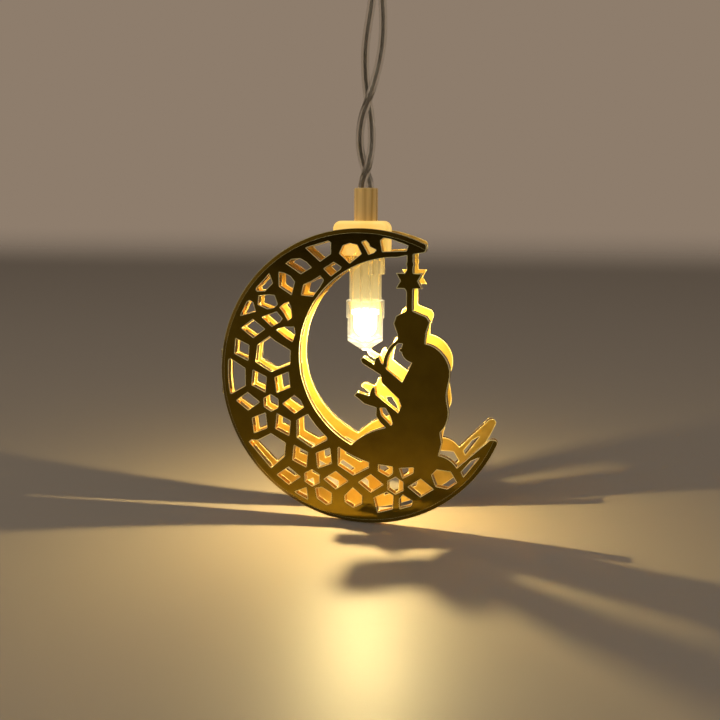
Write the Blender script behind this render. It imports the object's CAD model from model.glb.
import math

import bpy
from mathutils import Matrix, Vector


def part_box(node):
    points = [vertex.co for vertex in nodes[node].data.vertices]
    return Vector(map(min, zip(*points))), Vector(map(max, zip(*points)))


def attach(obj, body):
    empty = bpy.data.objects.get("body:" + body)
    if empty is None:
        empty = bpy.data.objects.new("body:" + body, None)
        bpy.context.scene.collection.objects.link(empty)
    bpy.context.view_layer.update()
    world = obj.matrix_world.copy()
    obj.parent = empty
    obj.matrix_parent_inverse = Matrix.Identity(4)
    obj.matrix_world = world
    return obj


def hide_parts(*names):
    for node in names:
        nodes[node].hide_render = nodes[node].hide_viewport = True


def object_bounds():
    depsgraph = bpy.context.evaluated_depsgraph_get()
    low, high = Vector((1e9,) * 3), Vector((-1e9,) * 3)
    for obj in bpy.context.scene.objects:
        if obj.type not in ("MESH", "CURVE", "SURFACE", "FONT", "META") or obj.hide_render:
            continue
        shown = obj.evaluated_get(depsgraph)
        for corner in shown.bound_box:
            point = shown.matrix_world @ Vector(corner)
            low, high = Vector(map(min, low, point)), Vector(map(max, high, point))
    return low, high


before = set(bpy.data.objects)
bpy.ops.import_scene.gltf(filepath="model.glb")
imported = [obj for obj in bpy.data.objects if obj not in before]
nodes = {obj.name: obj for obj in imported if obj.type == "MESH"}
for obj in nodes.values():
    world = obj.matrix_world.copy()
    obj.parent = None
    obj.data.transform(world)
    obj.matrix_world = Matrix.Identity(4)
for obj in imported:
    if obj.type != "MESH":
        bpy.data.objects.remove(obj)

cad_low, cad_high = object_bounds()

# Camera place and view, in metres and degrees
camera_aim = Vector((-0.003072, 0.0, -0.076322))
camera_distance = 0.16878
camera_azimuth = 8.011
camera_elevation = 9.958
camera_roll = 0.268
camera_lens = 40.29
camera_sensor = 36.0
camera_near = 0.005
camera_far = 20.0

# Stage, in metres; the backdrop's reflection fades into a dim room on the near side
floor_height = cad_low.z
floor_back = 8.0
floor_front = -1.6
floor_side = 4.0
floor_fade_near = 0.8
floor_fade_far = 7.0
floor_colour = (0.212, 0.172, 0.130, 1)
floor_roughness = 0.5
backdrop_colour = (0.27, 0.205, 0.15, 1)
room_colour = (0.022, 0.019, 0.016, 1)
room_side = -0.7
backdrop_side = 0.15
ambient_colour = (1.0, 0.97, 0.93, 1)
ambient_strength = 0.25

# Lights, in metres and watts
light_aim = (0, 0, -0.08)
key_place = (-0.35, -0.30, 0.42)
key_size = 0.5
key_power = 1.6
key_colour = (1.0, 0.97, 0.92)
fill_place = (0.45, -0.15, 0.30)
fill_size = 0.6
fill_power = 0.7
fill_colour = (1.0, 0.97, 0.93)
lamp_radius = 0.0006
lamp_power = 0.4
lamp_colour = (1.0, 0.78, 0.33)

# Gilt plates: half the angle between them, the width of the bright edges, and pairs of tones
plate_half_splay = 7.5
edge_reach = 0.00036
edge_samples = 8
edge_full = 0.91
edge_none = 0.985
face_gold = ((0.31, 0.21, 0.02, 1), (0.24, 0.155, 0.014, 1))
wall_gold = ((0.56, 0.34, 0.07, 1), (0.46, 0.26, 0.045, 1))
inner_gold = ((0.74, 0.50, 0.10, 1), (0.58, 0.37, 0.06, 1))
polished_gold = ((1.0, 0.88, 0.44, 1), (0.97, 0.78, 0.30, 1))

# The lamp's glow in the pieces around it
warm_glow = (1.0, 0.56, 0.08, 1)
hot_glow = (1.0, 0.80, 0.38, 1)
white_glow = (1.0, 0.93, 0.75, 1)
husk_dim = 0.05
husk_bright = 0.2
cap_dim = 0.12
cap_bright = 0.3
light_strength = 4.0
socket_strength = 0.7
sleeve_glow = (1.0, 0.6, 0.18, 1)
sleeve_strength = 0.07

# Tones and finish of the lamp's pieces and the wires
husk_tint = (0.97, 0.92, 0.74, 1)
husk_roughness = 0.08
cap_tint = (1.0, 0.96, 0.86, 1)
cap_roughness = 0.05
wire_tint = (0.78, 0.76, 0.70, 1)
wire_roughness = 0.1
strand_dark = (0.24, 0.21, 0.17, 1)
strand_light = (0.44, 0.40, 0.33, 1)
strand_metal = 0.35
lead_dark = (0.42, 0.40, 0.36, 1)
lead_light = (0.62, 0.60, 0.55, 1)
lead_metal = 0.9
neck_dark = (0.42, 0.26, 0.06, 1)
neck_light = (0.92, 0.70, 0.30, 1)
hanger_dark = (0.76, 0.66, 0.46, 1)
hanger_light = (0.86, 0.77, 0.57, 1)
clear_index = 1.46
milky_index = 1.42
milky_share = 0.55

# Wires, in metres: a straight tail inside the neck, then the route up into the hanging sleeve
wire_radius = 0.0008
strand_count = 6
strand_sides = 6
strand_radius = 0.00008
lay_radius = 0.00016
lay_length = 0.009
tail_bottom = -0.0494
tail_straight = 0.003
right_route = [
    (-0.0011, 0.0, -0.0434),
    (-0.0011, 0.0002, -0.0415),
    (-0.0015, 0.001, -0.0393),
    (-0.00255, 0.001, -0.037),
    (-0.0035, 0.00025, -0.0326),
    (-0.00295, -0.00075, -0.0278),
    (-0.0016, -0.001, -0.0244),
    (0.0001, -0.0004, -0.019),
    (0.0011, 0.0, -0.0136),
    (0.0012, 0.00005, -0.0088),
    (0.0009, 0.0, -0.0046),
    (0.0009, 0.0, -0.0023),
]
left_route = [
    (-0.0029, 0.0, -0.0434),
    (-0.0029, -0.0002, -0.0415),
    (-0.0024, -0.001, -0.0393),
    (-0.0015, -0.001, -0.037),
    (-0.0008, -0.00025, -0.0326),
    (-0.0011, 0.00075, -0.0278),
    (-0.0018, 0.001, -0.0244),
    (-0.0024, 0.0004, -0.019),
    (-0.00235, 0.0, -0.0138),
    (-0.00155, -0.00005, -0.0088),
    (-0.0009, 0.0, -0.0046),
    (-0.0009, 0.0, -0.0023),
]


# A material and the nodes that make it
class Shader:
    def __init__(self, name):
        self.material = bpy.data.materials.new(name)
        self.material.use_nodes = True
        self.tree = self.material.node_tree
        self.surface = self.tree.nodes["Principled BSDF"]

    def node(self, kind, **settings):
        made = self.tree.nodes.new(kind)
        for key, value in settings.items():
            setattr(made, key, value)
        return made

    def link(self, source, target):
        self.tree.links.new(source, target)

    def set(self, **values):
        for key, value in values.items():
            self.surface.inputs[key.replace("_", " ")].default_value = value

    def place(self):
        return self.node("ShaderNodeTexCoord").outputs["Object"]

    def noise(self, scale, detail=4.0, rough=0.55, stretch=None):
        made = self.node("ShaderNodeTexNoise")
        made.inputs["Scale"].default_value = scale
        made.inputs["Detail"].default_value = detail
        made.inputs["Roughness"].default_value = rough
        place = self.place()
        if stretch:
            mapping = self.node("ShaderNodeMapping")
            mapping.inputs["Scale"].default_value = stretch
            self.link(place, mapping.inputs["Vector"])
            place = mapping.outputs["Vector"]
        self.link(place, made.inputs["Vector"])
        return made.outputs["Fac"]

    def ramp(self, value, stops):
        made = self.node("ShaderNodeValToRGB")
        ramp = made.color_ramp
        while len(ramp.elements) < len(stops):
            ramp.elements.new(0.5)
        for element, (position, colour) in zip(ramp.elements, stops):
            element.position = position
            element.color = colour
        self.link(value, made.inputs["Fac"])
        return made.outputs["Color"]

    def span(self, value, low, high, from_low=0.0, from_high=1.0):
        made = self.node("ShaderNodeMapRange")
        for key, number in (
            ("From Min", from_low), ("From Max", from_high), ("To Min", low), ("To Max", high),
        ):
            made.inputs[key].default_value = number
        self.link(value, made.inputs["Value"])
        return made.outputs["Result"]

    def mix(self, share, first, second):
        made = self.node("ShaderNodeMix", data_type="RGBA")
        for value, socket in ((share, 0), (first, 6), (second, 7)):
            if isinstance(value, bpy.types.NodeSocket):
                self.link(value, made.inputs[socket])
            else:
                made.inputs[socket].default_value = value
        return made.outputs[2]

    def combine(self, operation, first, second):
        made = self.node("ShaderNodeMath", operation=operation)
        self.link(first, made.inputs[0])
        self.link(second, made.inputs[1])
        return made.outputs[0]

    # 1 on the edges of the shape, and 0 a radius away from them
    def edge_share(self, radius):
        rounded = self.node("ShaderNodeBevel", samples=edge_samples)
        rounded.inputs["Radius"].default_value = radius
        flat = self.node("ShaderNodeNewGeometry")
        dot = self.node("ShaderNodeVectorMath", operation="DOT_PRODUCT")
        self.link(rounded.outputs["Normal"], dot.inputs[0])
        self.link(flat.outputs["True Normal"], dot.inputs[1])
        return self.span(dot.outputs["Value"], 1, 0, edge_full, edge_none)

    def bump(self, height, strength, distance):
        made = self.node("ShaderNodeBump")
        made.inputs["Strength"].default_value = strength
        made.inputs["Distance"].default_value = distance
        self.link(height, made.inputs["Height"])
        self.link(made.outputs["Normal"], self.surface.inputs["Normal"])


# How far a face looks along a direction, from -1 to 1
def share_along(shader, direction):
    coordinates = shader.node("ShaderNodeTexCoord")
    dot = shader.node("ShaderNodeVectorMath", operation="DOT_PRODUCT")
    dot.inputs[1].default_value = direction
    shader.link(coordinates.outputs["Normal"], dot.inputs[0])
    return dot.outputs["Value"]


# Gilt plating: a mirror outside, a satin face inside, and bright polished edges
def gilt(name, outward):
    shader = Shader(name)
    facing = share_along(shader, outward)
    cloud = shader.span(shader.noise(260, 5), 0.0, 1.0, 0.35, 0.75)
    face = shader.mix(cloud, *face_gold)
    wall = shader.mix(cloud, *wall_gold)
    inner = shader.mix(cloud, *inner_gold)
    colour = shader.mix(shader.span(facing, 0, 1, -0.8, -0.6), inner, wall)
    colour = shader.mix(shader.span(facing, 0, 1, 0.6, 0.8), colour, face)
    edge = shader.edge_share(edge_reach)
    colour = shader.mix(edge, colour, shader.mix(cloud, *polished_gold))
    shader.link(colour, shader.surface.inputs["Base Color"])
    metal = shader.span(facing, 0.7, 1.0, -0.8, -0.5)
    metal = shader.combine("MULTIPLY", metal, shader.span(edge, 1.0, 0.1))
    shader.link(metal, shader.surface.inputs["Metallic"])
    satin = shader.span(facing, 0.30, 0.12, -0.9, 0.9)
    smear = shader.span(shader.noise(900, 6), -0.04, 0.05)
    shader.link(shader.combine("ADD", satin, smear), shader.surface.inputs["Roughness"])
    shader.bump(shader.noise(420, 3), 0.06, 0.00008)
    return shader.material


# Drawn pin with a warm tinge
def steel(name):
    shader = Shader(name)
    tone = shader.ramp(
        shader.noise(1500, 4, stretch=(1, 1, 0.1)),
        [(0.3, (0.34, 0.29, 0.18, 1)), (0.7, (0.55, 0.47, 0.27, 1))],
    )
    shader.link(tone, shader.surface.inputs["Base Color"])
    shader.link(shader.span(shader.noise(2600), 0.2, 0.38), shader.surface.inputs["Roughness"])
    shader.set(Metallic=1.0)
    return shader.material


# Ivory moulding lit through by the lamp below it
def ivory(name):
    shader = Shader(name)
    cloud = shader.noise(240, 4)
    tone = shader.ramp(cloud, [(0.3, (0.74, 0.52, 0.16, 1)), (0.7, (0.84, 0.64, 0.26, 1))])
    glow = shader.ramp(cloud, [(0.3, (1.0, 0.56, 0.09, 1)), (0.7, (1.0, 0.64, 0.14, 1))])
    shader.link(tone, shader.surface.inputs["Base Color"])
    shader.link(glow, shader.surface.inputs["Emission Color"])
    shader.link(shader.span(shader.noise(1300), 0.3, 0.45), shader.surface.inputs["Roughness"])
    shader.set(Emission_Strength=socket_strength)
    shader.bump(shader.noise(1800, 3), 0.08, 0.00006)
    return shader.material


# Half-clear tubing with drawn streaks
def milky(name, dark, light):
    shader = Shader(name)
    streak = shader.noise(900, 3, stretch=(1, 1, 0.02))
    tone = shader.ramp(streak, [(0.38, dark), (0.62, light)])
    shader.link(tone, shader.surface.inputs["Base Color"])
    shader.link(shader.span(streak, 0.2, 0.4), shader.surface.inputs["Roughness"])
    shader.set(Transmission_Weight=milky_share, IOR=milky_index)
    shader.set(Emission_Color=sleeve_glow, Emission_Strength=sleeve_strength)
    return shader.material


# Clear moulding; the lamp's own light fills it more towards its lower end
def clear(name, tint, roughness, glow=None):
    shader = Shader(name)
    tone = shader.ramp(
        shader.noise(500, 3, stretch=(1, 1, 0.15)),
        [(0.3, tint), (0.7, tuple(min(1, 1.12 * part) for part in tint))],
    )
    shader.link(tone, shader.surface.inputs["Base Color"])
    haze = shader.span(shader.noise(1100, 4), roughness, roughness + 0.06)
    shader.link(haze, shader.surface.inputs["Roughness"])
    shader.set(Transmission_Weight=1.0, IOR=clear_index)
    if glow:
        top, bottom, dim, bright, warm, hot = glow
        across = shader.node("ShaderNodeSeparateXYZ")
        shader.link(shader.place(), across.inputs[0])
        share = shader.span(across.outputs["Z"], 0, 1, top, bottom)
        shader.link(shader.mix(share, warm, hot), shader.surface.inputs["Emission Color"])
        shader.link(shader.span(share, dim, bright), shader.surface.inputs["Emission Strength"])
    return shader.material


# Lit body of the light
def glowing(name):
    shader = Shader(name)
    tone = shader.ramp(
        shader.noise(900, 3), [(0.3, (1.0, 0.84, 0.56, 1)), (0.7, (1.0, 0.92, 0.72, 1))]
    )
    shader.link(tone, shader.surface.inputs["Base Color"])
    shader.link(tone, shader.surface.inputs["Emission Color"])
    shader.set(Emission_Strength=light_strength, Roughness=0.2)
    return shader.material


# Tinned wire, more or less bare
def tinned(name, dark, light, metal):
    shader = Shader(name)
    tone = shader.ramp(shader.noise(2400, 4, stretch=(1, 1, 0.2)), [(0.3, dark), (0.7, light)])
    shader.link(tone, shader.surface.inputs["Base Color"])
    shader.link(shader.span(shader.noise(3000), 0.25, 0.5), shader.surface.inputs["Roughness"])
    shader.set(Metallic=metal)
    return shader.material


# Shrink tubing
def rubber(name):
    shader = Shader(name)
    tone = shader.ramp(shader.noise(900), [(0.3, (0.76, 0.68, 0.52, 1)), (0.7, (0.87, 0.80, 0.64, 1))])
    shader.link(tone, shader.surface.inputs["Base Color"])
    shader.link(shader.span(shader.noise(1500), 0.45, 0.65), shader.surface.inputs["Roughness"])
    return shader.material


# Gives a piece of the frame its material
def dress(node, material):
    mesh = nodes[node].data
    mesh.materials.clear()
    mesh.materials.append(material)


# Camera turned to the view that the values at the top describe
def make_camera():
    azimuth, elevation = math.radians(camera_azimuth), math.radians(camera_elevation)
    roll = math.radians(camera_roll)
    back = Vector((
        math.sin(azimuth) * math.cos(elevation),
        -math.cos(azimuth) * math.cos(elevation),
        math.sin(elevation),
    ))
    right = Vector((0, 0, 1)).cross(back).normalized()
    up = back.cross(right)
    turned_right = right * math.cos(roll) + up * math.sin(roll)
    turned_up = back.cross(turned_right)
    camera = bpy.data.objects.new("camera", bpy.data.cameras.new("camera"))
    camera.data.lens = camera_lens
    camera.data.sensor_width = camera_sensor
    camera.data.clip_start = camera_near
    camera.data.clip_end = camera_far
    rotation = Matrix((turned_right, turned_up, back)).transposed()
    camera.matrix_world = Matrix.Translation(camera_aim + back * camera_distance) @ rotation.to_4x4()
    bpy.context.scene.collection.objects.link(camera)
    bpy.context.scene.camera = camera


# Smooth round spline through the pull of its points
def spline_object(name, points, radius):
    curve = bpy.data.curves.new(name, "CURVE")
    curve.dimensions = "3D"
    spline = curve.splines.new("NURBS")
    spline.points.add(len(points) - 1)
    for point, place in zip(spline.points, points):
        point.co = (*place, 1)
    spline.order_u = 3
    spline.use_endpoint_u = True
    spline.resolution_u = 10
    curve.bevel_depth = radius
    curve.bevel_resolution = 6
    curve.use_fill_caps = True
    made = bpy.data.objects.new(name, curve)
    bpy.context.scene.collection.objects.link(made)
    return made


# Points on the middle line of such a spline
def points_along(points):
    guide = spline_object("guide", points, 0)
    mesh = bpy.data.meshes.new_from_object(guide)
    line = [v.co.copy() for v in mesh.vertices]
    bpy.data.meshes.remove(mesh)
    bpy.data.objects.remove(guide)
    return line


# The place at an angle around one point of a line
def around(line, i, angle, radius):
    ahead = (line[min(i + 1, len(line) - 1)] - line[max(i - 1, 0)]).normalized()
    across = ahead.cross(Vector((0, 1, 0))).normalized()
    other = ahead.cross(across)
    return line[i] + (across * math.cos(angle) + other * math.sin(angle)) * radius


# Adds a closed tube along a line to a mesh's vertices and faces
def add_tube(line, vertices, faces):
    first = len(vertices)
    sides = strand_sides
    for i in range(len(line)):
        for k in range(sides):
            vertices.append(around(line, i, 2 * math.pi * k / sides, strand_radius))
    for i in range(len(line) - 1):
        for k in range(sides):
            a = first + i * sides + k
            b = first + i * sides + (k + 1) % sides
            faces.append((a, b, b + sides, a + sides))
    faces.append([first + k for k in reversed(range(sides))])
    faces.append([first + (len(line) - 1) * sides + k for k in range(sides)])


# One straight strand with the others laid around it
def strand_core(name, line):
    vertices = []
    faces = []
    add_tube(line, vertices, faces)
    for strand in range(strand_count):
        path = []
        travelled = 0.0
        for i in range(len(line)):
            if i:
                travelled += (line[i] - line[i - 1]).length
            angle = 2 * math.pi * (strand / strand_count + travelled / lay_length)
            path.append(around(line, i, angle, lay_radius))
        add_tube(path, vertices, faces)
    mesh = bpy.data.meshes.new(name)
    mesh.from_pydata(vertices, [], faces)
    mesh.shade_smooth()
    made = bpy.data.objects.new(name, mesh)
    bpy.context.scene.collection.objects.link(made)
    return made


# One wire: a clear skin on a core of strands, from inside the neck to the hanging sleeve
def make_wire(side, route, skin, core_material):
    x, y, _ = route[0]
    points = [(x, y, tail_bottom), (x, y, tail_bottom + tail_straight)] + route
    wire = spline_object("wire_" + side, points, wire_radius)
    wire.data.materials.append(skin)
    line = points_along(points)
    core = strand_core("wire_core_" + side, line)
    core.data.materials.append(core_material)
    for piece in (wire, core):
        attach(piece, "pendant")
    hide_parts("lead_wire_" + side)


# Floor that fades out towards the backdrop
def make_floor():
    mesh = bpy.data.meshes.new("floor")
    corners = [
        (-floor_side, floor_front, floor_height), (floor_side, floor_front, floor_height),
        (floor_side, floor_back, floor_height), (-floor_side, floor_back, floor_height),
    ]
    mesh.from_pydata(corners, [], [(0, 1, 2, 3)])
    floor = bpy.data.objects.new("floor", mesh)
    bpy.context.scene.collection.objects.link(floor)
    shader = Shader("floor")
    shader.set(Base_Color=floor_colour, Roughness=floor_roughness)
    across = shader.node("ShaderNodeSeparateXYZ")
    shader.link(shader.place(), across.inputs[0])
    share = shader.node("ShaderNodeMath", operation="DIVIDE")
    share.inputs[0].default_value = floor_fade_near
    shader.link(across.outputs["Y"], share.inputs[1])
    fade = shader.node("ShaderNodeMapRange", interpolation_type="SMOOTHSTEP")
    fade.inputs["From Min"].default_value = floor_fade_near / floor_fade_far
    shader.link(share.outputs[0], fade.inputs["Value"])
    near = shader.node("ShaderNodeMath", operation="LESS_THAN")
    near.inputs[1].default_value = floor_fade_near
    shader.link(across.outputs["Y"], near.inputs[0])
    seen = shader.node("ShaderNodeMath", operation="MAXIMUM")
    shader.link(fade.outputs["Result"], seen.inputs[0])
    shader.link(near.outputs[0], seen.inputs[1])
    shader.link(seen.outputs[0], shader.surface.inputs["Alpha"])
    mesh.materials.append(shader.material)


# The backdrop shows to the eye and through clear pieces; metal also reflects the dim room
def make_world():
    world = bpy.data.worlds.new("studio")
    bpy.context.scene.world = world
    world.use_nodes = True
    tree = world.node_tree
    seen = tree.nodes["Background"]
    seen.inputs["Color"].default_value = backdrop_colour
    ambient = tree.nodes.new("ShaderNodeBackground")
    ambient.inputs["Color"].default_value = ambient_colour
    ambient.inputs["Strength"].default_value = ambient_strength
    room = tree.nodes.new("ShaderNodeBackground")
    direction = tree.nodes.new("ShaderNodeTexCoord")
    across = tree.nodes.new("ShaderNodeSeparateXYZ")
    tree.links.new(direction.outputs["Generated"], across.inputs[0])
    share = tree.nodes.new("ShaderNodeMapRange")
    share.interpolation_type = "SMOOTHSTEP"
    share.inputs["From Min"].default_value = room_side
    share.inputs["From Max"].default_value = backdrop_side
    tree.links.new(across.outputs["Y"], share.inputs["Value"])
    tone = tree.nodes.new("ShaderNodeMix")
    tone.data_type = "RGBA"
    tone.inputs[6].default_value = room_colour
    tone.inputs[7].default_value = backdrop_colour
    tree.links.new(share.outputs["Result"], tone.inputs[0])
    tree.links.new(tone.outputs[2], room.inputs["Color"])
    path = tree.nodes.new("ShaderNodeLightPath")
    shaders = ambient.outputs[0]
    for ray, shown in (
        ("Is Glossy Ray", room), ("Is Transmission Ray", seen), ("Is Camera Ray", seen),
    ):
        mix = tree.nodes.new("ShaderNodeMixShader")
        tree.links.new(path.outputs[ray], mix.inputs[0])
        tree.links.new(shaders, mix.inputs[1])
        tree.links.new(shown.outputs[0], mix.inputs[2])
        shaders = mix.outputs[0]
    tree.links.new(shaders, tree.nodes["World Output"].inputs["Surface"])


# Soft light from a round panel that metal doesn't reflect
def area_light(name, place, size, power, colour):
    light = bpy.data.lights.new(name, "AREA")
    light.shape = "DISK"
    light.size = size
    light.energy = power
    light.color = colour
    made = bpy.data.objects.new(name, light)
    made.location = place
    made.rotation_euler = (Vector(light_aim) - Vector(place)).to_track_quat("-Z", "Y").to_euler()
    made.visible_glossy = False
    bpy.context.scene.collection.objects.link(made)


# The lamp's own light, in the middle of its body
def lamp_light(name):
    light = bpy.data.lights.new(name, "POINT")
    light.shadow_soft_size = lamp_radius
    light.energy = lamp_power
    light.color = lamp_colour
    made = bpy.data.objects.new(name, light)
    light_low, light_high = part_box("led_body")
    made.location = (light_low + light_high) / 2
    bpy.context.scene.collection.objects.link(made)


make_camera()
wire_skin = clear("wire_insulation", wire_tint, wire_roughness)
wire_metal = tinned("wire_strands", strand_dark, strand_light, strand_metal)
make_wire("right", right_route, wire_skin, wire_metal)
make_wire("left", left_route, wire_skin, wire_metal)

# Plates and hinge pin
tilt = math.radians(plate_half_splay)
front_outward = (-math.sin(tilt), -math.cos(tilt), 0)
rear_outward = (-math.sin(tilt), math.cos(tilt), 0)
dress("front_plate", gilt("gilt_front", front_outward))
dress("rear_plate", gilt("gilt_rear", rear_outward))
dress("hinge_pin", steel("pin_steel"))

# Lamp and sleeves
dress("lamp_socket", ivory("ivory_socket"))
dress("neck_sleeve", milky("milky_sleeve", neck_dark, neck_light))
dress("string_sleeve", milky("milky_hanger", hanger_dark, hanger_light))
husk_low, husk_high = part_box("bulb_husk")
cap_low, cap_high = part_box("lens_cap")
husk_glow = (husk_high.z, husk_low.z, husk_dim, husk_bright, warm_glow, hot_glow)
cap_glow = (cap_high.z, cap_low.z, cap_dim, cap_bright, hot_glow, white_glow)
dress("bulb_husk", clear("clear_husk", husk_tint, husk_roughness, husk_glow))
dress("lens_cap", clear("clear_cap", cap_tint, cap_roughness, cap_glow))
dress("led_body", glowing("light_epoxy"))
for node in ("bulb_husk", "lens_cap", "led_body"):
    nodes[node].visible_shadow = False

# Leads, conductors and shrink tubes
lead_finish = tinned("lead_tin", lead_dark, lead_light, lead_metal)
for node in ("led_cathode", "led_anode", "conductor_right", "conductor_left"):
    dress(node, lead_finish)
shrink_finish = rubber("shrink_rubber")
for node in ("shrink_tube_right", "shrink_tube_left"):
    dress(node, shrink_finish)

# Stage and lights
make_floor()
make_world()
area_light("key", key_place, key_size, key_power, key_colour)
area_light("fill", fill_place, fill_size, fill_power, fill_colour)
lamp_light("lamp_glow")

bpy.context.scene.view_settings.view_transform = "Standard"
